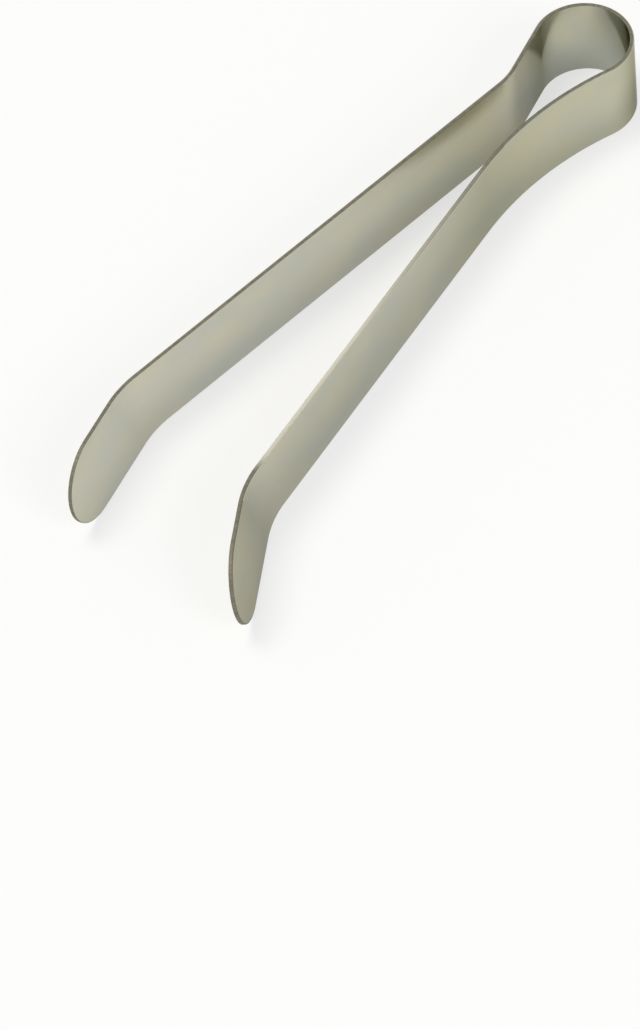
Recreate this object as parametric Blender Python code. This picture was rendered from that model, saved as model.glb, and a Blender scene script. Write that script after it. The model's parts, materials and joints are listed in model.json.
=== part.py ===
"""Candle snuffer tongs: one bent strip of spring steel, split where it flexes.

Frame: metres, +Z up, standing on the lower edges of the strip at z = 0.
+X runs from the bow to the tips and +Y to the left arm. The origin is on the
lower edge of the bow, at the middle of its back and of the strip's thickness.
"""

import math

import bmesh
import bpy
import numpy as np

MM = 0.001

# The strip that everything is bent from
STRIP_WIDTH = 17.6 * MM
STRIP_THICKNESS = 0.8 * MM

# The spring bow: radius at mid thickness, and where each half flexes,
# as an angle around the bow from the middle of its back
BOW_RADIUS = 9.3 * MM
FLEX_ANGLE = math.radians(54.0)
FLEX_GAP = 0.3 * MM

# Left arm: how far the bow turns past its widest point, the straight before
# the neck, the neck's bend, the splay of the arm and its length to the crease
LEFT_BOW_TURN = math.radians(22.1)
LEFT_NECK_STRAIGHT = 0.5 * MM
LEFT_NECK_RADIUS = 66.0 * MM
LEFT_SPLAY = math.radians(6.95)
LEFT_ARM_LENGTH = 83.4 * MM
LEFT_TIP_BEND = math.radians(24.8)

# Right arm
RIGHT_BOW_TURN = math.radians(13.0)
RIGHT_NECK_STRAIGHT = 11.3 * MM
RIGHT_NECK_RADIUS = 13.3 * MM
RIGHT_SPLAY = math.radians(6.95)
RIGHT_ARM_LENGTH = 97.5 * MM
RIGHT_TIP_BEND = math.radians(20.9)

# The tips: both are folded towards +Y over a crease that leans towards the
# tip at its top, and end in a rounded outline
TIP_LENGTH = 26.8 * MM
TIP_ROUND_LENGTH = 9.6 * MM
CREASE_LEAN = math.radians(22.0)
CREASE_RADIUS = 20.0 * MM

# Which way a tip folds, seen from its own arm
OUTWARDS = 1
INWARDS = -1

# Facets, and the angle from which an edge between them is drawn sharp
BOW_STEP = math.radians(3.0)
NECK_STEP = math.radians(3.0)
CREASE_STEPS = 12
ROUND_STEPS = 14
SHARP_ANGLE = math.radians(30.0)

# Cold-rolled stainless steel: a warm grey soft mirror
STEEL_COLOUR = (0.60, 0.58, 0.47)
STEEL_METALLIC = 1.0
STEEL_ROUGHNESS = 0.2

EMPTY_SIZE = 10.0 * MM


def steps(span, step):
    return max(2, math.ceil(abs(span) / step))


def upright(point, heading):
    """A section across the strip where the strip stands upright: four corners."""
    along = np.array([math.cos(heading), math.sin(heading), 0.0])
    outward = np.array([-along[1], along[0], 0.0]) * STRIP_THICKNESS / 2
    low = np.array([point[0], point[1], 0.0])
    high = low + np.array([0.0, 0.0, STRIP_WIDTH])
    return [low - outward, low + outward, high + outward, high - outward]


def bow_point(turned):
    """The bow's mid surface and heading, at an angle from the back of the bow."""
    point = (
        BOW_RADIUS * (1 - math.cos(turned)),
        BOW_RADIUS * math.sin(turned),
    )
    return point, math.pi / 2 - turned


def bow_sections():
    end = FLEX_ANGLE - FLEX_GAP / 2 / BOW_RADIUS
    turns = np.linspace(-end, end, 2 * steps(end, BOW_STEP) + 1)
    return [upright(*bow_point(turned)) for turned in turns]


class Folded:
    """The flat end of an arm, folded over a leaning crease.

    `start` and `heading` are where the straight arm begins, seen on the left
    side. `toward` is OUTWARDS or INWARDS.
    """

    def __init__(self, start, heading, length, bend, toward):
        self.origin = np.array([start[0], start[1], STRIP_WIDTH / 2])
        self.along = np.array([math.cos(heading), math.sin(heading), 0.0])
        self.origin = self.origin + self.along * length
        self.bend = bend
        self.toward = toward
        normal = np.array([-self.along[1], self.along[0], 0.0])
        self.normal = normal * toward
        up = np.array([0.0, 0.0, 1.0])
        lean = CREASE_LEAN
        self.across = self.along * math.cos(lean) - up * math.sin(lean)
        self.ruling = self.along * math.sin(lean) + up * math.cos(lean)
        self.span = CREASE_RADIUS * bend

    def place(self, run, height, depth):
        """A point of the flat strip: run from the crease, height from the middle."""
        lean = CREASE_LEAN
        u = run * math.cos(lean) - height * math.sin(lean)
        v = run * math.sin(lean) + height * math.cos(lean)
        depth = depth * self.toward
        past = u + self.span / 2
        base = self.origin + self.ruling * v - self.across * self.span / 2
        if past <= 0.0:
            return base + self.across * past + self.normal * depth
        angle = min(past, self.span) / CREASE_RADIUS
        turned = self.across * math.cos(angle) + self.normal * math.sin(angle)
        facing = self.normal * math.cos(angle) - self.across * math.sin(angle)
        centre = base + self.normal * CREASE_RADIUS
        rest = max(past - self.span, 0.0)
        return centre - facing * (CREASE_RADIUS - depth) + turned * rest

    def section(self, low, high):
        """Four corners of the strip across a line from `low` to `high`."""
        half = STRIP_THICKNESS / 2
        return [
            self.place(*low, -half),
            self.place(*low, half),
            self.place(*high, half),
            self.place(*high, -half),
        ]

    def sections(self):
        half = STRIP_WIDTH / 2
        lean = CREASE_LEAN
        made = []
        for u in np.linspace(-self.span / 2, self.span / 2, CREASE_STEPS + 1):
            low = (u - half * math.sin(lean)) / math.cos(lean)
            high = (u + half * math.sin(lean)) / math.cos(lean)
            made.append(self.section((low, -half), (high, half)))
        begin = TIP_LENGTH - TIP_ROUND_LENGTH
        for angle in np.linspace(math.pi / 2, 0.0, ROUND_STEPS + 1)[:-1]:
            run = begin + TIP_ROUND_LENGTH * math.cos(angle)
            height = half * math.sin(angle)
            made.append(self.section((run, -height), (run, height)))
        apex = [
            self.place(TIP_LENGTH, 0.0, -STRIP_THICKNESS / 2),
            self.place(TIP_LENGTH, 0.0, STRIP_THICKNESS / 2),
        ]
        return made, apex


def arm_sections(turn, straight, radius, splay, length, bend, toward):
    """Sections of an arm from its flex line to its tip, on the left side."""
    begin = FLEX_ANGLE + FLEX_GAP / 2 / BOW_RADIUS
    finish = math.pi / 2 + turn
    made = []
    for turned in np.linspace(begin, finish, steps(finish - begin, BOW_STEP) + 1):
        made.append(upright(*bow_point(turned)))
    (x, y), heading = bow_point(finish)
    x = x + straight * math.cos(heading)
    y = y + straight * math.sin(heading)
    made.append(upright((x, y), heading))
    centre = (x - radius * math.sin(heading), y + radius * math.cos(heading))
    count = steps(splay - heading, NECK_STEP)
    for h in np.linspace(heading, splay, count + 1)[1:]:
        x = centre[0] + radius * math.sin(h)
        y = centre[1] - radius * math.cos(h)
        made.append(upright((x, y), h))
    folded = Folded((x, y), splay, length, bend, toward)
    tip, apex = folded.sections()
    return made + tip, apex


def strip_mesh(name, sections, apex, origin):
    """A closed body through the sections, with its points counted from origin."""
    body = bmesh.new()
    rows = []
    for section in sections:
        rows.append([body.verts.new(corner - origin) for corner in section])
    for here, there in zip(rows, rows[1:]):
        for k in range(4):
            m = (k + 1) % 4
            body.faces.new((here[k], here[m], there[m], there[k]))
    body.faces.new(rows[0])
    last = rows[-1]
    if apex is None:
        body.faces.new(last)
    else:
        inner, outer = [body.verts.new(corner - origin) for corner in apex]
        body.faces.new((last[0], last[1], outer, inner))
        body.faces.new((last[3], last[2], outer, inner))
        body.faces.new((last[0], last[3], inner))
        body.faces.new((last[1], last[2], outer))
    bmesh.ops.recalc_face_normals(body, faces=body.faces)
    for face in body.faces:
        face.smooth = True
    mesh = bpy.data.meshes.new(name)
    body.to_mesh(mesh)
    body.free()
    mesh.set_sharp_from_angle(angle=SHARP_ANGLE)
    return mesh


def steel(name):
    material = bpy.data.materials.new(name)
    material.use_nodes = True
    shader = material.node_tree.nodes["Principled BSDF"]
    shader.inputs["Base Color"].default_value = (*STEEL_COLOUR, 1.0)
    shader.inputs["Metallic"].default_value = STEEL_METALLIC
    shader.inputs["Roughness"].default_value = STEEL_ROUGHNESS
    return material


def empty(name, location, parent):
    marker = bpy.data.objects.new(name, None)
    marker.empty_display_size = EMPTY_SIZE
    marker.location = location
    marker.parent = parent
    bpy.context.scene.collection.objects.link(marker)
    return marker


def piece(name, mesh, material, parent):
    mesh.materials.append(material)
    made = bpy.data.objects.new(name, mesh)
    made.parent = parent
    bpy.context.scene.collection.objects.link(made)


def mirrored(sections):
    return [[corner * np.array([1.0, -1.0, 1.0]) for corner in s] for s in sections]


for thing in list(bpy.data.objects):
    bpy.data.objects.remove(thing, do_unlink=True)

frame = empty("tongs", (0.0, 0.0, 0.0), None)

# The middle of the bow stays still, and an arm swings on each side of it
bow = strip_mesh("spring_bow", bow_sections(), None, np.zeros(3))
piece("spring_bow", bow, steel("spring_steel_bow"), frame)

(flex_x, flex_y), _ = bow_point(FLEX_ANGLE)

left_sections, left_apex = arm_sections(
    LEFT_BOW_TURN,
    LEFT_NECK_STRAIGHT,
    LEFT_NECK_RADIUS,
    LEFT_SPLAY,
    LEFT_ARM_LENGTH,
    LEFT_TIP_BEND,
    OUTWARDS,
)
left_flex = np.array([flex_x, flex_y, 0.0])
left = strip_mesh("left_arm", left_sections, left_apex, left_flex)
left_pivot = empty("left_flex", left_flex, frame)
piece("left_arm", left, steel("spring_steel_left"), left_pivot)

right_sections, right_apex = arm_sections(
    RIGHT_BOW_TURN,
    RIGHT_NECK_STRAIGHT,
    RIGHT_NECK_RADIUS,
    RIGHT_SPLAY,
    RIGHT_ARM_LENGTH,
    RIGHT_TIP_BEND,
    INWARDS,
)
right_sections = mirrored(right_sections)
right_apex = mirrored([right_apex])[0]
right_flex = np.array([flex_x, -flex_y, 0.0])
right = strip_mesh("right_arm", right_sections, right_apex, right_flex)
right_pivot = empty("right_flex", right_flex, frame)
piece("right_arm", right, steel("spring_steel_right"), right_pivot)
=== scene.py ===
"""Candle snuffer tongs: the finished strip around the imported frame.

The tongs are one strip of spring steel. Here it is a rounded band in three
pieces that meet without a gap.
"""

import json
import math

import bmesh
import bpy
import numpy as np
from mathutils import Matrix, Vector


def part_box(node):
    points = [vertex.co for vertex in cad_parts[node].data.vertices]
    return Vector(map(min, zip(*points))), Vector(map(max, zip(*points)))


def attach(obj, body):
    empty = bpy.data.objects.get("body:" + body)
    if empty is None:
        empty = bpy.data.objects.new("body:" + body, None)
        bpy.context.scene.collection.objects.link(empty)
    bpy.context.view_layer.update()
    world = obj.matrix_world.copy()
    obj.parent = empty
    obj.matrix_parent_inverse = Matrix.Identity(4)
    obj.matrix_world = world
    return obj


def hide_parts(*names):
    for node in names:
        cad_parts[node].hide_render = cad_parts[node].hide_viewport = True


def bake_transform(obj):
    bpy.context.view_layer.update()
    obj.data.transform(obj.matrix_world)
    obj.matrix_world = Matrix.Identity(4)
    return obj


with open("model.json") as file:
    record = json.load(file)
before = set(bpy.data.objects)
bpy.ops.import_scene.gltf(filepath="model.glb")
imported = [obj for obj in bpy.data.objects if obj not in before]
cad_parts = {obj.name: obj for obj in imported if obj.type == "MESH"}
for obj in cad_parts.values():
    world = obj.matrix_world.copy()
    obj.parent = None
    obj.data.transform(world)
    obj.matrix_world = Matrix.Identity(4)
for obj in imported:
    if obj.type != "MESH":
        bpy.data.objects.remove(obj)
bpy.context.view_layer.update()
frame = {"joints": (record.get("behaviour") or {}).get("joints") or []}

bl_info = {
    "name": "Candle snuffer tongs",
    "version": (1, 0, 0),
    "blender": (4, 5, 0),
    "location": "View3D > Sidebar > Tongs",
    "description": "Builds the spring steel strip of a pair of candle snuffer tongs",
    "category": "Add Mesh",
}

MM = 0.001

# The bow's box and its flex lines, as packed, and the angle and radius they give
BOW_LOW, BOW_HIGH = (np.array(corner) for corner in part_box("spring_bow"))
FLEX = {joint["child"]: joint["pos_m"] for joint in frame["joints"]}
FLEX_ANGLE = 2 * math.atan2(FLEX["left"][0], FLEX["left"][1])
BOW_RADIUS = FLEX["left"][1] / math.sin(FLEX_ANGLE)

# How far apart the rings of a band are, and how many steps its bends take
BOW_RINGS = 151
BOW_STEP = 0.12 * MM
STRAIGHT_STEP = 0.8 * MM
NECK_STEP = 0.6 * MM
ARM_STEP = 2.0 * MM
CREASE_STEPS = 40
TIP_FLAT_STEPS = 5
TIP_ROUND_STEPS = 32

# How a ring is divided. Two steps of the rolled edge are as bright as the face,
# and the faces have a column close to each edge, which keeps their shading flat
ROLL_STEPS = 6
FACE_STEPS = 2
BURR_STEPS = 4
FACE_COLUMNS = 10
FACE_SUPPORT = 0.10 * MM
LARGEST_SUPPORT = 0.05
LEAST_CHORD = 0.001 * MM

# Points closer than this are one, and edges sharper than this are drawn sharp
MERGE_DISTANCE = 0.0001 * MM
SHARP_ANGLE = math.radians(40.0)

# How gently the painted highlight along an edge begins, and how soon it ends
EDGE_HIGHLIGHT_RISE = 54.0 * MM
EDGE_HIGHLIGHT_FALL = 4.0 * MM

# Patterns on the flat blank, in repeats per metre along it and across it. Roll
# lines are about 0.05 mm apart, and drawn at 0.3 mm so as to show. Clouds of
# handling are 5 to 20 mm across
ROLL_LINES = (60.0, 3300.0, 1.0)
CLOUDS = (60.0, 120.0, 1.0)

# The tear of the shear is grainy at about 0.5 mm, and its blade drags for 1 mm
TEAR_GRAIN = 2000.0
DRAG_MARKS = 900.0

# Where most values of a noise lie
NOISE_LOW = 0.3
NOISE_HIGH = 0.7

# How the steel and the floor scatter light
BRIGHT_LINE = 0.12
DULL_LINE = 0.22
LINE_BUMP = 0.08
LINE_DEPTH = 0.02 * MM
SHEARED_ROUGHNESS = 0.7
BURNISHED_ROUGHNESS = 0.28
FLOOR_ROUGHNESS = 0.9

# The picture's height and the focal length, both in pixels of the picture
IMAGE_HEIGHT = 1029
FOCAL_PIXELS = 8955
SENSOR_MM = 36.0
CLIP_START = 0.01

FLOOR_DROP = 0.1 * MM


def linear(code):
    """An sRGB hex colour as linear red, green and blue."""
    parts = [int(code[k : k + 2], 16) / 255 for k in (0, 2, 4)]
    return [c / 12.92 if c <= 0.04045 else ((c + 0.055) / 1.055) ** 2.4 for c in parts]


def length(name, description, default):
    return bpy.props.FloatProperty(
        name=name, description=description, default=default, unit="LENGTH", precision=5
    )


def angle(name, description, degrees):
    return bpy.props.FloatProperty(
        name=name, description=description, default=math.radians(degrees), subtype="ANGLE"
    )


def colour(name, description, code):
    return bpy.props.FloatVectorProperty(
        name=name,
        description=description,
        default=linear(code),
        size=3,
        min=0.0,
        max=1.0,
        subtype="COLOR",
    )


def power(name, description, watts):
    return bpy.props.FloatProperty(
        name=name, description=description, default=watts, unit="POWER"
    )


def factor(name, description, share):
    return bpy.props.FloatProperty(
        name=name, description=description, default=share, min=0.0, max=1.0, subtype="FACTOR"
    )


def place(name, description, point):
    return bpy.props.FloatVectorProperty(
        name=name, description=description, default=point, size=3, unit="LENGTH", precision=5
    )


class TongsStrip(bpy.types.PropertyGroup):
    """Sizes of the strip that the tongs are bent from."""

    width: length("Width", "Across the strip", float(BOW_HIGH[2] - BOW_LOW[2]))
    thickness: length("Thickness", "Through the strip", float(-2 * BOW_LOW[0]))
    rolled_edge: length("Rolled edge", "Edge radius on the outer face", 0.25 * MM)
    burr_edge: length("Burr edge", "Edge radius on the inner face", 0.10 * MM)
    tip_length: length("Tip length", "From the crease to the tip's end", 26.8 * MM)
    tip_round: length("Tip round", "How long the rounded end is", 9.6 * MM)
    crease_lean: angle("Crease lean", "Lean of the crease towards the tip", 22.0)
    crease_radius: length("Crease radius", "Bend radius of the crease", 20.0 * MM)


class TongsArm(bpy.types.PropertyGroup):
    """Sizes of one arm, with those of the left one as defaults."""

    bow_turn: angle("Bow turn", "How far the bow runs past its widest point", 22.1)
    neck_straight: length("Neck straight", "Straight before the neck", 0.5 * MM)
    neck_radius: length("Neck radius", "Bend radius of the neck", 66.0 * MM)
    splay: angle("Splay", "Angle of the arm to the middle line", 6.95)
    arm_length: length("Arm length", "From the neck to the crease", 83.4 * MM)
    tip_bend: angle("Tip bend", "Angle that the tip is folded by", 24.8)
    # Length of the painted highlight, a pale colour on the edges before the crease
    painted_edge_highlight_reach: length("Filed edge", "Edge filed smooth before the crease", 90.0 * MM)


RIGHT_ARM = {
    "bow_turn": math.radians(13.0),
    "neck_straight": 11.3 * MM,
    "neck_radius": 13.3 * MM,
    "splay": math.radians(6.95),
    "arm_length": 97.5 * MM,
    "tip_bend": math.radians(20.9),
    # The right arm's edges have no painted highlight
    "painted_edge_highlight_reach": 0.0,
}


class TongsFinish(bpy.types.PropertyGroup):
    """Colours of the steel, and how far the painted shade and highlights on it reach from the
    bow's back.
    """

    steel: colour("Steel", "Bright faces of the strip", "D0CDBC")
    steel_cool: colour("Cool steel", "Cooler clouds on the faces", "C7C9C1")
    # Painted shade and painted warm reflection: the colour near the bow is darkened and
    # yellowed, in full up to one run, faded out by the next, and less on the inner face
    straw: colour("Straw tint", "Tint from the heat that the bow was bent with", "EEEDE1")
    painted_warm_shade_full: length("Straw, full", "How far the tint is full", 40.0 * MM)
    painted_warm_shade_end: length("Straw, end", "Where the tint has faded out", 80.0 * MM)
    painted_warm_shade_inner: factor("Straw, inner", "Share of the tint that the inner face has", 0.8)
    # Painted highlight: between these runs the inner faces of the necks are kept free of the
    # painted warm shade, so they show lighter
    painted_neck_highlight_begin: length("Former, begin", "Where a cold former kept the tint off", 21.0 * MM)
    painted_neck_highlight_end: length("Former, end", "Where the former let go of the inner face", 31.0 * MM)
    painted_neck_highlight_fade: length("Former, fade", "How softly the tint sets in again", 6.0 * MM)
    # Painted cool shade: low on the inner face near the bow's back, the colour is darkened and
    # cooled, in full up to one run and faded out by the next
    smoke: colour("Smoke film", "Film low inside the bow, where no cloth wipes", "EAF0FC")
    painted_cool_shade_full: length("Smoke, full", "How far the film is full", 14.0 * MM)
    painted_cool_shade_end: length("Smoke, end", "Where the film has faded out", 30.0 * MM)
    grazing: colour("Grazing tint", "Tint of the steel seen at a low angle", "BEBCAF")
    fracture: colour("Sheared edge", "Torn part of the strip's edges", "676454")
    burnish: colour("Burnished edge", "Smooth part of the strip's edges", "A5A18E")
    # A pale colour painted on the edges before the crease as a highlight
    filed: colour("Filed edge", "Edges filed smooth where fingers hold", "DAD7C7")


class TongsStage(bpy.types.PropertyGroup):
    """The floor, the light and the camera."""

    floor: colour("Floor", "Pale floor", "F9F9F8")
    floor_glow: factor("Floor glow", "How plain the camera sees the floor's colour", 0.70)
    floor_mirror: factor("Floor mirror", "How plain the steel shows the floor's colour", 0.43)
    floor_reach: length("Floor reach", "From the middle of the floor to its sides", 6.0)
    room: colour("Room", "Cool light from all around", "EEF5FF")
    room_low: factor("Room, low", "Level of the room's light at the horizon", 1.0)
    room_high: factor("Room, high", "Level of the room's light from straight above", 0.2)
    key: colour("Key", "Warm light from above", "FFF9EE")
    key_power: power("Key power", "Power of the light from above", 102.0)
    key_place: place("Key place", "Middle of the light from above", (0.80, -1.12, 3.76))
    key_size: length("Key size", "Side of the light from above", 1.7)
    fill: colour("Fill", "Plain light from the left", "FFFFFF")
    fill_power: power("Fill power", "Power of the light from the left", 14.0)
    fill_place: place("Fill place", "Middle of the light from the left", (0.58, 1.84, 1.60))
    fill_size: length("Fill size", "Side of the light from the left", 0.9)
    azimuth: angle("Azimuth", "Camera's angle around the tongs", 131.73)
    elevation: angle("Elevation", "Camera's angle above the floor", 49.95)
    roll: angle("Roll", "Camera's turn about its own axis", -5.4)
    distance: length("Distance", "From the camera to its aim", 1.630)
    aim: place("Aim", "Point at the middle of the picture", (0.1246, 0.0254, 0.0088))


class BentStrip:
    """Where the points of the flat blank go once it is bent, for one arm.

    A point has a run along the blank from the back of the bow, a height from
    its middle line, and a depth out of its mid surface. side is 1 for the left
    arm and -1 for the right one. Both tips fold towards +Y.
    """

    def __init__(self, strip, arm, side):
        self.strip = strip
        self.side = side
        self.radius = arm.neck_radius
        self.bow_end = BOW_RADIUS * (math.pi / 2 + arm.bow_turn)
        self.neck_begin = self.bow_end + arm.neck_straight
        self.neck_end = self.neck_begin + arm.neck_radius * (arm.bow_turn + arm.splay)
        self.crease = self.neck_end + arm.arm_length
        self.end = self.crease + strip.tip_length
        self.painted_edge_highlight_begin = self.crease - arm.painted_edge_highlight_reach
        self.span = strip.crease_radius * arm.tip_bend
        self.set_fold()

    def path(self, run):
        """Place and heading on the mid surface, before the fold, on the left side."""
        bow = min(run, self.bow_end)
        turned = bow / BOW_RADIUS
        x = BOW_RADIUS * (1 - math.cos(turned))
        y = BOW_RADIUS * math.sin(turned)
        heading = math.pi / 2 - turned
        straight = min(run, self.neck_begin) - bow
        x += straight * math.cos(heading)
        y += straight * math.sin(heading)
        neck = min(max(run - self.neck_begin, 0.0), self.neck_end - self.neck_begin)
        bent = heading + neck / self.radius
        x += self.radius * (math.sin(bent) - math.sin(heading))
        y -= self.radius * (math.cos(bent) - math.cos(heading))
        rest = max(run - self.neck_end, 0.0)
        return x + rest * math.cos(bent), y + rest * math.sin(bent), bent

    def set_fold(self):
        """The middle of the crease, and directions out of the arm, over the crease and up it."""
        x, y, heading = self.path(self.crease)
        lean = self.strip.crease_lean
        along = np.array([math.cos(heading), math.sin(heading), 0.0])
        up = np.array([0.0, 0.0, 1.0])
        self.centre = np.array([x, y, self.strip.width / 2])
        self.facing = np.array([-along[1], along[0], 0.0]) * self.side
        self.across = along * math.cos(lean) - up * math.sin(lean)
        self.ruling = along * math.sin(lean) + up * math.cos(lean)

    def place(self, run, height, depth):
        """A point of the blank, bent."""
        if run <= self.neck_end:
            x, y, heading = self.path(run)
            point = np.array(
                [
                    x - depth * math.sin(heading),
                    y + depth * math.cos(heading),
                    self.strip.width / 2 + height,
                ]
            )
        else:
            point = self.folded(run - self.crease, height, depth * self.side)
        return point * np.array([1.0, self.side, 1.0])

    def folded(self, run, height, depth):
        """A point of the straight arm or the tip, with its run counted from the crease."""
        lean = self.strip.crease_lean
        radius = self.strip.crease_radius
        u = run * math.cos(lean) - height * math.sin(lean)
        v = run * math.sin(lean) + height * math.cos(lean)
        past = u + self.span / 2
        base = self.centre + self.ruling * v - self.across * self.span / 2
        if past <= 0.0:
            return base + self.across * past + self.facing * depth
        turned = min(past, self.span) / radius
        along = self.across * math.cos(turned) + self.facing * math.sin(turned)
        out = self.facing * math.cos(turned) - self.across * math.sin(turned)
        rest = max(past - self.span, 0.0)
        return base + self.facing * radius - out * (radius - depth) + along * rest

    def filed(self, run):
        """How much painted highlight the edge has: 1 on its stretch before the crease, 0 where
        it is as cut.
        """
        rise = (run - self.painted_edge_highlight_begin) / EDGE_HIGHLIGHT_RISE
        fall = (self.crease - run) / EDGE_HIGHLIGHT_FALL
        return min(max(min(rise, fall), 0.0), 1.0)

    def crease_row(self, lines):
        """The first line across the blank that lies past the middle of the crease."""
        for row, (low_run, high_run, _, _) in enumerate(lines):
            if low_run + high_run > 2 * self.crease:
                return row
        raise ValueError("no line lies past the crease")

    def lines(self, begin):
        """Lines across the blank: run at the lower and upper edge, half height, slant.

        slant is the angle of the outline's outward normal from straight across.
        """
        half = self.strip.width / 2
        lean = self.strip.crease_lean
        runs = [begin]
        for stop, step in (
            (self.bow_end, BOW_STEP),
            (self.neck_begin, STRAIGHT_STEP),
            (self.neck_end, NECK_STEP),
        ):
            count = max(1, round((stop - runs[-1]) / step))
            runs += list(np.linspace(runs[-1], stop, count + 1)[1:])
        made = [(run, run, half, 0.0) for run in runs]
        skew = half * math.tan(lean)
        first = self.crease - self.span / 2 / math.cos(lean)
        last = self.crease + self.span / 2 / math.cos(lean)
        count = round((first - self.neck_end) / ARM_STEP)
        for share in np.linspace(0.0, 1.0, count + 1)[1:]:
            run = self.neck_end + (first - self.neck_end) * share
            made.append((run - skew * share, run + skew * share, half, 0.0))
        for run in np.linspace(first, last, CREASE_STEPS + 1)[1:]:
            made.append((run - skew, run + skew, half, 0.0))
        begin_round = self.end - self.strip.tip_round
        for share in np.linspace(0.0, 1.0, TIP_FLAT_STEPS + 1)[1:]:
            low = last - skew + (begin_round - last + skew) * share
            high = last + skew + (begin_round - last - skew) * share
            made.append((low, high, half, 0.0))
        for turned in np.linspace(0.0, math.pi / 2, TIP_ROUND_STEPS + 1)[1:]:
            run = begin_round + self.strip.tip_round * math.sin(turned)
            slant = math.atan2(
                half * math.sin(turned), self.strip.tip_round * math.cos(turned)
            )
            made.append((run, run, half * math.cos(turned), slant))
        return made


def edge_profile(strip):
    """Inset from the outline and depth, from the outer face round to the inner one."""
    half = strip.thickness / 2
    made = []
    for radius, sign, sweep in (
        (strip.rolled_edge, 1, np.linspace(math.pi / 2, 0.0, ROLL_STEPS + 1)),
        (strip.burr_edge, -1, np.linspace(0.0, math.pi / 2, BURR_STEPS + 1)),
    ):
        for turned in sweep:
            inset = radius * (1 - math.cos(turned))
            depth = sign * (half - radius + radius * math.sin(turned))
            made.append((inset, depth))
    return made


def face_shares(chord):
    """Where the columns of a broad face lie, with one close to each edge."""
    support = min(FACE_SUPPORT / max(chord, LEAST_CHORD), LARGEST_SUPPORT)
    return [0.0, *np.linspace(support, 1 - support, FACE_COLUMNS - 1), 1.0]


def section(strip, line):
    """One ring of the blank: (run, height, depth) from the outer face round."""
    low_run, high_run, half, slant = line
    profile = edge_profile(strip)

    def edge(run, sign):
        return [
            (
                run - inset * math.sin(slant),
                sign * (half - inset * math.cos(slant)),
                depth,
            )
            for inset, depth in profile
        ]

    low, high = edge(low_run, -1), edge(high_run, 1)
    ring = []
    for begin, finish, wall in ((low[0], high[0], high), (high[-1], low[-1], low[::-1])):
        chord = abs(finish[1] - begin[1])
        for share in face_shares(chord)[1:-1]:
            ring.append(tuple(a + (b - a) * share for a, b in zip(begin, finish)))
        ring += wall
    return ring


def eased(value, begin, end):
    """0 at begin, 1 at end, and smooth between them."""
    share = min(max((value - begin) / (end - begin), 0.0), 1.0)
    return share * share * (3.0 - 2.0 * share)


def painted_shade_shares(finish, strip, corner):
    """How much painted warm shade, less where the necks have their painted highlight, and how
    much painted cool shade a point of the blank has.
    """
    run, height, depth = abs(corner[0]), corner[1], corner[2]
    inner = max(-2 * depth / strip.thickness, 0.0)
    # Painted highlight on the inner faces of the necks, where the painted warm shade is left out
    fade = finish.painted_neck_highlight_fade / 2
    painted_highlight_mask = eased(run, finish.painted_neck_highlight_begin - fade, finish.painted_neck_highlight_begin + fade)
    painted_highlight_mask *= eased(run, finish.painted_neck_highlight_end + fade, finish.painted_neck_highlight_end - fade)
    kept = 1.0 - inner * (1.0 - finish.painted_warm_shade_inner * (1.0 - painted_highlight_mask))
    straw = kept * eased(run, finish.painted_warm_shade_end, finish.painted_warm_shade_full)
    # Painted cool shade, on the inner face only, stronger towards its bottom
    low = 0.5 - height / strip.width
    smoke = inner * low * eased(run, finish.painted_cool_shade_end, finish.painted_cool_shade_full)
    return straw, smoke


def band_faces(rows, count):
    """Faces between the rings of a band, and one that closes each end."""
    made = []
    for here in range(0, (rows - 1) * count, count):
        for k in range(count):
            m = (k + 1) % count
            made.append((here + k, here + m, here + count + m, here + count + k))
    made.append(tuple(range(count)))
    made.append(tuple(range((rows - 1) * count, rows * count)))
    return made


def band_slots(bent, rings, cut_from):
    """Each face's finish: 0 for the broad faces, 1 for sheared and 2 for burnished edge.

    From ring cut_from on, the rolled edge gives way to a cut one. Where the edge
    has its painted highlight, the burnished part takes the sheared finish too.
    """
    count = len(rings[0])
    edges = len(edge_profile(bent.strip))
    columns = FACE_COLUMNS - 1
    made = []
    for row, ring in enumerate(rings[:-1]):
        cut = max(row - cut_from, 0)
        if bent.filed(ring[0][0]) > 0.0:
            cut = ROLL_STEPS - FACE_STEPS
        for k in range(count):
            far_half, in_half = divmod(k, columns + edges)
            step = in_half - columns
            from_outer = edges - 2 - step if far_half else step
            if not 0 <= step < edges - 1 or from_outer < FACE_STEPS - cut:
                made.append(0)
            elif from_outer >= ROLL_STEPS - cut:
                made.append(1)
            else:
                made.append(2)
    return [*made, 0, 0]


def band_mesh(name, bent, rings, cut_from, finish):
    """A closed band through the rings, with the flat blank as its UV map."""
    blank = [corner for ring in rings for corner in ring]
    mesh = bpy.data.meshes.new(name)
    points = [bent.place(*corner) for corner in blank]
    mesh.from_pydata(points, [], band_faces(len(rings), len(rings[0])))
    uv = mesh.uv_layers.new(name="blank")
    for loop in mesh.loops:
        uv.data[loop.index].uv = blank[loop.vertex_index][:2]
    # Painted warm shade, painted cool shade and the painted edge highlight, as point attributes
    painted_values = [(*painted_shade_shares(finish, bent.strip, corner), bent.filed(corner[0])) for corner in blank]
    for painted_attribute, values in zip(("straw", "smoke", "filed"), zip(*painted_values)):
        layer = mesh.attributes.new(painted_attribute, "FLOAT", "POINT")
        layer.data.foreach_set("value", values)
    mesh.polygons.foreach_set("material_index", band_slots(bent, rings, cut_from))
    body = bmesh.new()
    body.from_mesh(mesh)
    bmesh.ops.remove_doubles(body, verts=body.verts, dist=MERGE_DISTANCE)
    bmesh.ops.recalc_face_normals(body, faces=body.faces)
    for face in body.faces:
        face.smooth = True
    body.to_mesh(mesh)
    body.free()
    mesh.set_sharp_from_angle(angle=SHARP_ANGLE)
    return mesh


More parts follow.
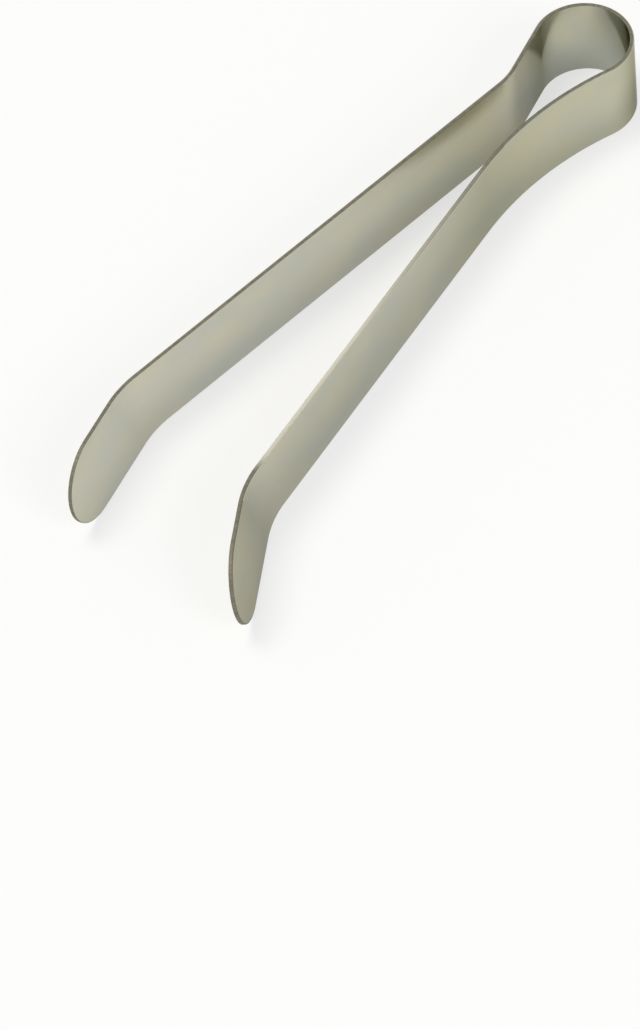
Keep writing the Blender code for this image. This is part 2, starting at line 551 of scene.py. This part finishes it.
def add(tree, kind, settings=None, **links):
    """Adds a node, sets its values and links its inputs, by name or as _0, _1 and so on."""
    node = tree.nodes.new(kind)
    for key, value in (settings or {}).items():
        if key in node.inputs:
            node.inputs[key].default_value = value
        else:
            setattr(node, key, value)
    for key, source in links.items():
        socket = node.inputs[key] if key in node.inputs else node.inputs[int(key[1:])]
        tree.links.new(source, socket)
    return node


def material(name):
    """A new material, its node tree and its shader."""
    made = bpy.data.materials.new(name)
    made.use_nodes = True
    return made, made.node_tree, made.node_tree.nodes["Principled BSDF"]


def rolled_steel(name, finish):
    """Stainless spring strip, cold rolled bright.

    The rolls leave a soft mirror with faint lines along the strip, and years of
    handling have left warm and cool clouds on it. Near the bow its colour is
    darkened and yellowed as painted shade and painted warm reflection, which fade
    out along the arms, and the inner faces of the necks are left out of it as a
    painted highlight. Low inside the bow it is darkened and cooled as painted
    shade.
    """
    made, tree, shader = material(name)
    blank = add(tree, "ShaderNodeUVMap", {"uv_map": "blank"})
    line_place = add(
        tree, "ShaderNodeMapping", {"Scale": ROLL_LINES}, Vector=blank.outputs["UV"]
    )
    lines = add(
        tree,
        "ShaderNodeTexNoise",
        {"Scale": 1.0, "Detail": 3.0, "Roughness": 0.6},
        Vector=line_place.outputs["Vector"],
    )
    cloud_place = add(
        tree, "ShaderNodeMapping", {"Scale": CLOUDS}, Vector=blank.outputs["UV"]
    )
    cloud = add(
        tree,
        "ShaderNodeTexNoise",
        {"Scale": 1.0, "Detail": 2.0},
        Vector=cloud_place.outputs["Vector"],
    )
    share = add(
        tree,
        "ShaderNodeMapRange",
        {"From Min": NOISE_LOW, "From Max": NOISE_HIGH},
        Value=cloud.outputs["Fac"],
    )
    tone = add(
        tree,
        "ShaderNodeMix",
        {"data_type": "RGBA", "A": (*finish.steel, 1.0), "B": (*finish.steel_cool, 1.0)},
        Factor=share.outputs["Result"],
    )
    # Painted shade and painted warm reflection near the bow
    straw = add(tree, "ShaderNodeAttribute", {"attribute_name": "straw"})
    warm_shaded = add(
        tree,
        "ShaderNodeMix",
        {"data_type": "RGBA", "blend_type": "MULTIPLY", "B": (*finish.straw, 1.0)},
        Factor=straw.outputs["Fac"],
        A=tone.outputs["Result"],
    )
    # Painted cool shade low inside the bow
    smoke = add(tree, "ShaderNodeAttribute", {"attribute_name": "smoke"})
    cool_shaded = add(
        tree,
        "ShaderNodeMix",
        {"data_type": "RGBA", "blend_type": "MULTIPLY", "B": (*finish.smoke, 1.0)},
        Factor=smoke.outputs["Fac"],
        A=warm_shaded.outputs["Result"],
    )
    rough = add(
        tree,
        "ShaderNodeMapRange",
        {
            "From Min": NOISE_LOW,
            "From Max": NOISE_HIGH,
            "To Min": BRIGHT_LINE,
            "To Max": DULL_LINE,
        },
        Value=lines.outputs["Fac"],
    )
    bump = add(
        tree,
        "ShaderNodeBump",
        {"Strength": LINE_BUMP, "Distance": LINE_DEPTH},
        Height=lines.outputs["Fac"],
    )
    shader.inputs["Metallic"].default_value = 1.0
    shader.inputs["Specular Tint"].default_value = (*finish.grazing, 1.0)
    tree.links.new(cool_shaded.outputs["Result"], shader.inputs["Base Color"])
    tree.links.new(rough.outputs["Result"], shader.inputs["Roughness"])
    tree.links.new(bump.outputs["Normal"], shader.inputs["Normal"])
    return made


def sheared_edge(name, finish):
    """Steel torn by the shear: the dull, dark, grainy part of each edge.

    Where the edges have a painted highlight, the tear gives way to a pale, matt colour.
    """
    made, tree, shader = material(name)
    blank = add(tree, "ShaderNodeUVMap", {"uv_map": "blank"})
    grain = add(
        tree,
        "ShaderNodeTexNoise",
        {"Scale": TEAR_GRAIN, "Detail": 3.0},
        Vector=blank.outputs["UV"],
    )
    tone = add(
        tree,
        "ShaderNodeMix",
        {"data_type": "RGBA", "A": (*finish.fracture, 1.0), "B": (*finish.burnish, 1.0)},
        Factor=grain.outputs["Fac"],
    )
    # Where the edges before the crease have their painted highlight
    painted_highlight_mask = add(tree, "ShaderNodeAttribute", {"attribute_name": "filed"})
    edge_highlighted = add(
        tree,
        "ShaderNodeMix",
        {"data_type": "RGBA", "B": (*finish.filed, 1.0)},
        Factor=painted_highlight_mask.outputs["Fac"],
        A=tone.outputs["Result"],
    )
    shader.inputs["Metallic"].default_value = 1.0
    shader.inputs["Roughness"].default_value = SHEARED_ROUGHNESS
    tree.links.new(edge_highlighted.outputs["Result"], shader.inputs["Base Color"])
    return made


def burnished_edge(name, finish):
    """Steel rubbed smooth by the shear's blade: the brighter part of each edge."""
    made, tree, shader = material(name)
    blank = add(tree, "ShaderNodeUVMap", {"uv_map": "blank"})
    marks = add(
        tree,
        "ShaderNodeTexNoise",
        {"Scale": DRAG_MARKS, "Detail": 2.0},
        Vector=blank.outputs["UV"],
    )
    tone = add(
        tree,
        "ShaderNodeMix",
        {"data_type": "RGBA", "A": (*finish.burnish, 1.0), "B": (*finish.steel, 1.0)},
        Factor=marks.outputs["Fac"],
    )
    shader.inputs["Metallic"].default_value = 1.0
    shader.inputs["Roughness"].default_value = BURNISHED_ROUGHNESS
    tree.links.new(tone.outputs["Result"], shader.inputs["Base Color"])
    return made


# In the order of the slots that band_slots gives
FINISHES = {
    "Stainless spring strip, cold rolled": rolled_steel,
    "Stainless strip edge, sheared": sheared_edge,
    "Stainless strip edge, burnished": burnished_edge,
}


def link_band(name, mesh, finish):
    """Adds a band to the scene, in the finishes that all the bands share."""
    for title, make in FINISHES.items():
        mesh.materials.append(bpy.data.materials.get(title) or make(title, finish))
    piece = bpy.data.objects.new(name, mesh)
    bpy.context.scene.collection.objects.link(piece)
    return piece


class TONGS_OT_spring_bow(bpy.types.Operator):
    """Builds the back of the bow, which stays still when the tongs close"""

    bl_idname = "tongs.spring_bow"
    bl_label = "Spring bow"

    def execute(self, context):
        scene = context.scene
        strip = scene.tongs_strip
        left = BentStrip(strip, scene.tongs_left_arm, 1)
        half = strip.width / 2
        reach = BOW_RADIUS * FLEX_ANGLE
        runs = np.linspace(-reach, reach, BOW_RINGS)
        rings = [section(strip, (run, run, half, 0.0)) for run in runs]
        mesh = band_mesh("bow_band", left, rings, len(rings), scene.tongs_finish)
        piece = link_band("bow_band", mesh, scene.tongs_finish)
        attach(piece, "bow")
        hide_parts("spring_bow")
        return {"FINISHED"}


class TONGS_OT_arms(bpy.types.Operator):
    """Builds both arms, from the bow's flex lines to the rounded tips"""

    bl_idname = "tongs.arms"
    bl_label = "Arms"

    def execute(self, context):
        scene = context.scene
        strip = scene.tongs_strip
        sides = (("left", scene.tongs_left_arm, 1), ("right", scene.tongs_right_arm, -1))
        for body, arm, side in sides:
            bent = BentStrip(strip, arm, side)
            lines = bent.lines(BOW_RADIUS * FLEX_ANGLE)
            rings = [section(strip, line) for line in lines]
            name = body + "_arm_band"
            mesh = band_mesh(name, bent, rings, bent.crease_row(lines), scene.tongs_finish)
            piece = link_band(name, mesh, scene.tongs_finish)
            neck_x, neck_y, _ = bent.path(bent.bow_end)
            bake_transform(piece)
            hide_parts(body + "_arm")
        return {"FINISHED"}


def camera_axes(stage):
    """The camera's right, up and back directions."""
    cos_e, sin_e = math.cos(stage.elevation), math.sin(stage.elevation)
    back = Vector(
        (math.sin(stage.azimuth) * cos_e, -math.cos(stage.azimuth) * cos_e, sin_e)
    )
    right = (-back).cross(Vector((0.0, 0.0, 1.0))).normalized()
    up = right.cross(-back)
    cos_r, sin_r = math.cos(stage.roll), math.sin(stage.roll)
    return right * cos_r + up * sin_r, up * cos_r - right * sin_r, back


def set_camera(stage):
    """A camera with a long lens, from the tips' side and above."""
    right, up, back = camera_axes(stage)
    data = bpy.data.cameras.new("camera")
    data.sensor_width = SENSOR_MM
    data.lens = FOCAL_PIXELS / IMAGE_HEIGHT * SENSOR_MM
    data.clip_start = CLIP_START
    camera = bpy.data.objects.new("camera", data)
    turn = Matrix((right, up, back)).transposed().to_4x4()
    eye = Vector(stage.aim) + back * stage.distance
    camera.matrix_world = Matrix.Translation(eye) @ turn
    bpy.context.scene.collection.objects.link(camera)
    bpy.context.scene.camera = camera


def painted_floor(stage):
    """Matt pale paint.

    Part of what the camera and the steel see of it is its plain colour, and the
    rest is lit, so that it keeps a soft shadow.
    """
    made, tree, shader = material("Painted studio floor")
    shader.inputs["Base Color"].default_value = (*stage.floor, 1.0)
    shader.inputs["Roughness"].default_value = FLOOR_ROUGHNESS
    path = add(tree, "ShaderNodeLightPath")
    mirrored = add(
        tree,
        "ShaderNodeMath",
        {"operation": "MAXIMUM"},
        _0=path.outputs["Is Glossy Ray"],
        _1=path.outputs["Is Transmission Ray"],
    )
    shown = add(
        tree, "ShaderNodeMath", {"operation": "MULTIPLY"}, _0=mirrored.outputs["Value"]
    )
    shown.inputs[1].default_value = stage.floor_mirror
    share = add(
        tree,
        "ShaderNodeMath",
        {"operation": "MULTIPLY_ADD"},
        _0=path.outputs["Is Camera Ray"],
        _2=shown.outputs["Value"],
    )
    share.inputs[1].default_value = stage.floor_glow
    plain = add(tree, "ShaderNodeEmission", {"Color": (*stage.floor, 1.0)})
    both = add(
        tree,
        "ShaderNodeMixShader",
        Fac=share.outputs["Value"],
        _1=shader.outputs["BSDF"],
        _2=plain.outputs["Emission"],
    )
    tree.links.new(both.outputs["Shader"], tree.nodes["Material Output"].inputs["Surface"])
    return made


def set_floor(stage):
    """A floor just under the tongs, wide enough to fill every view."""
    reach = stage.floor_reach
    mesh = bpy.data.meshes.new("floor")
    corners = [(x * reach, y * reach, 0.0) for x, y in ((-1, -1), (1, -1), (1, 1), (-1, 1))]
    mesh.from_pydata(corners, [], [(0, 1, 2, 3)])
    mesh.materials.append(painted_floor(stage))
    floor = bpy.data.objects.new("floor", mesh)
    floor.location.z = BOW_LOW[2] - FLOOR_DROP
    bpy.context.scene.collection.objects.link(floor)


def set_softbox(name, stage):
    """A square softbox that looks at the tongs."""
    data = bpy.data.lights.new(name, "AREA")
    data.size = getattr(stage, name + "_size")
    data.color = getattr(stage, name)
    data.energy = getattr(stage, name + "_power")
    lamp = bpy.data.objects.new(name, data)
    lamp.location = getattr(stage, name + "_place")
    aim = Vector((stage.aim[0], 0.0, 0.0)) - lamp.location
    lamp.rotation_euler = aim.to_track_quat("-Z", "Y").to_euler()
    bpy.context.scene.collection.objects.link(lamp)


def set_world(stage):
    """A soft pale room, brightest at the horizon."""
    world = bpy.data.worlds.new("soft room")
    world.use_nodes = True
    tree = world.node_tree
    shade = tree.nodes["Background"]
    shade.inputs["Color"].default_value = (*stage.room, 1.0)
    direction = add(tree, "ShaderNodeTexCoord")
    height = add(tree, "ShaderNodeSeparateXYZ", Vector=direction.outputs["Generated"])
    level = add(
        tree,
        "ShaderNodeMapRange",
        {"To Min": stage.room_low, "To Max": stage.room_high},
        Value=height.outputs["Z"],
    )
    tree.links.new(level.outputs["Result"], shade.inputs["Strength"])
    bpy.context.scene.world = world


class TONGS_OT_stage(bpy.types.Operator):
    """Sets up the floor, the soft light and the camera"""

    bl_idname = "tongs.stage"
    bl_label = "Stage"

    def execute(self, context):
        stage = context.scene.tongs_stage
        context.scene.view_settings.view_transform = "Standard"
        set_floor(stage)
        set_world(stage)
        set_softbox("key", stage)
        set_softbox("fill", stage)
        set_camera(stage)
        return {"FINISHED"}


class TONGS_PT_panel(bpy.types.Panel):
    """Lists the steps that build the tongs"""

    bl_idname = "TONGS_PT_panel"
    bl_label = "Candle snuffer tongs"
    bl_space_type = "VIEW_3D"
    bl_region_type = "UI"
    bl_category = "Tongs"

    def draw(self, context):
        for step in OPERATORS:
            self.layout.operator(step.bl_idname)


OPERATORS = (TONGS_OT_spring_bow, TONGS_OT_arms, TONGS_OT_stage)
GROUPS = {
    "tongs_strip": TongsStrip,
    "tongs_left_arm": TongsArm,
    "tongs_right_arm": TongsArm,
    "tongs_finish": TongsFinish,
    "tongs_stage": TongsStage,
}
CLASSES = (*dict.fromkeys(GROUPS.values()), *OPERATORS, TONGS_PT_panel)


def register():
    for each in CLASSES:
        bpy.utils.register_class(each)
    for name, group in GROUPS.items():
        setattr(bpy.types.Scene, name, bpy.props.PointerProperty(type=group))


def unregister():
    for name in GROUPS:
        delattr(bpy.types.Scene, name)
    for each in reversed(CLASSES):
        bpy.utils.unregister_class(each)


def main():
    register()
    for name, value in RIGHT_ARM.items():
        setattr(bpy.context.scene.tongs_right_arm, name, value)
    bpy.ops.tongs.spring_bow()
    bpy.ops.tongs.arms()
    bpy.ops.tongs.stage()


if __name__ == "__main__":
    main()
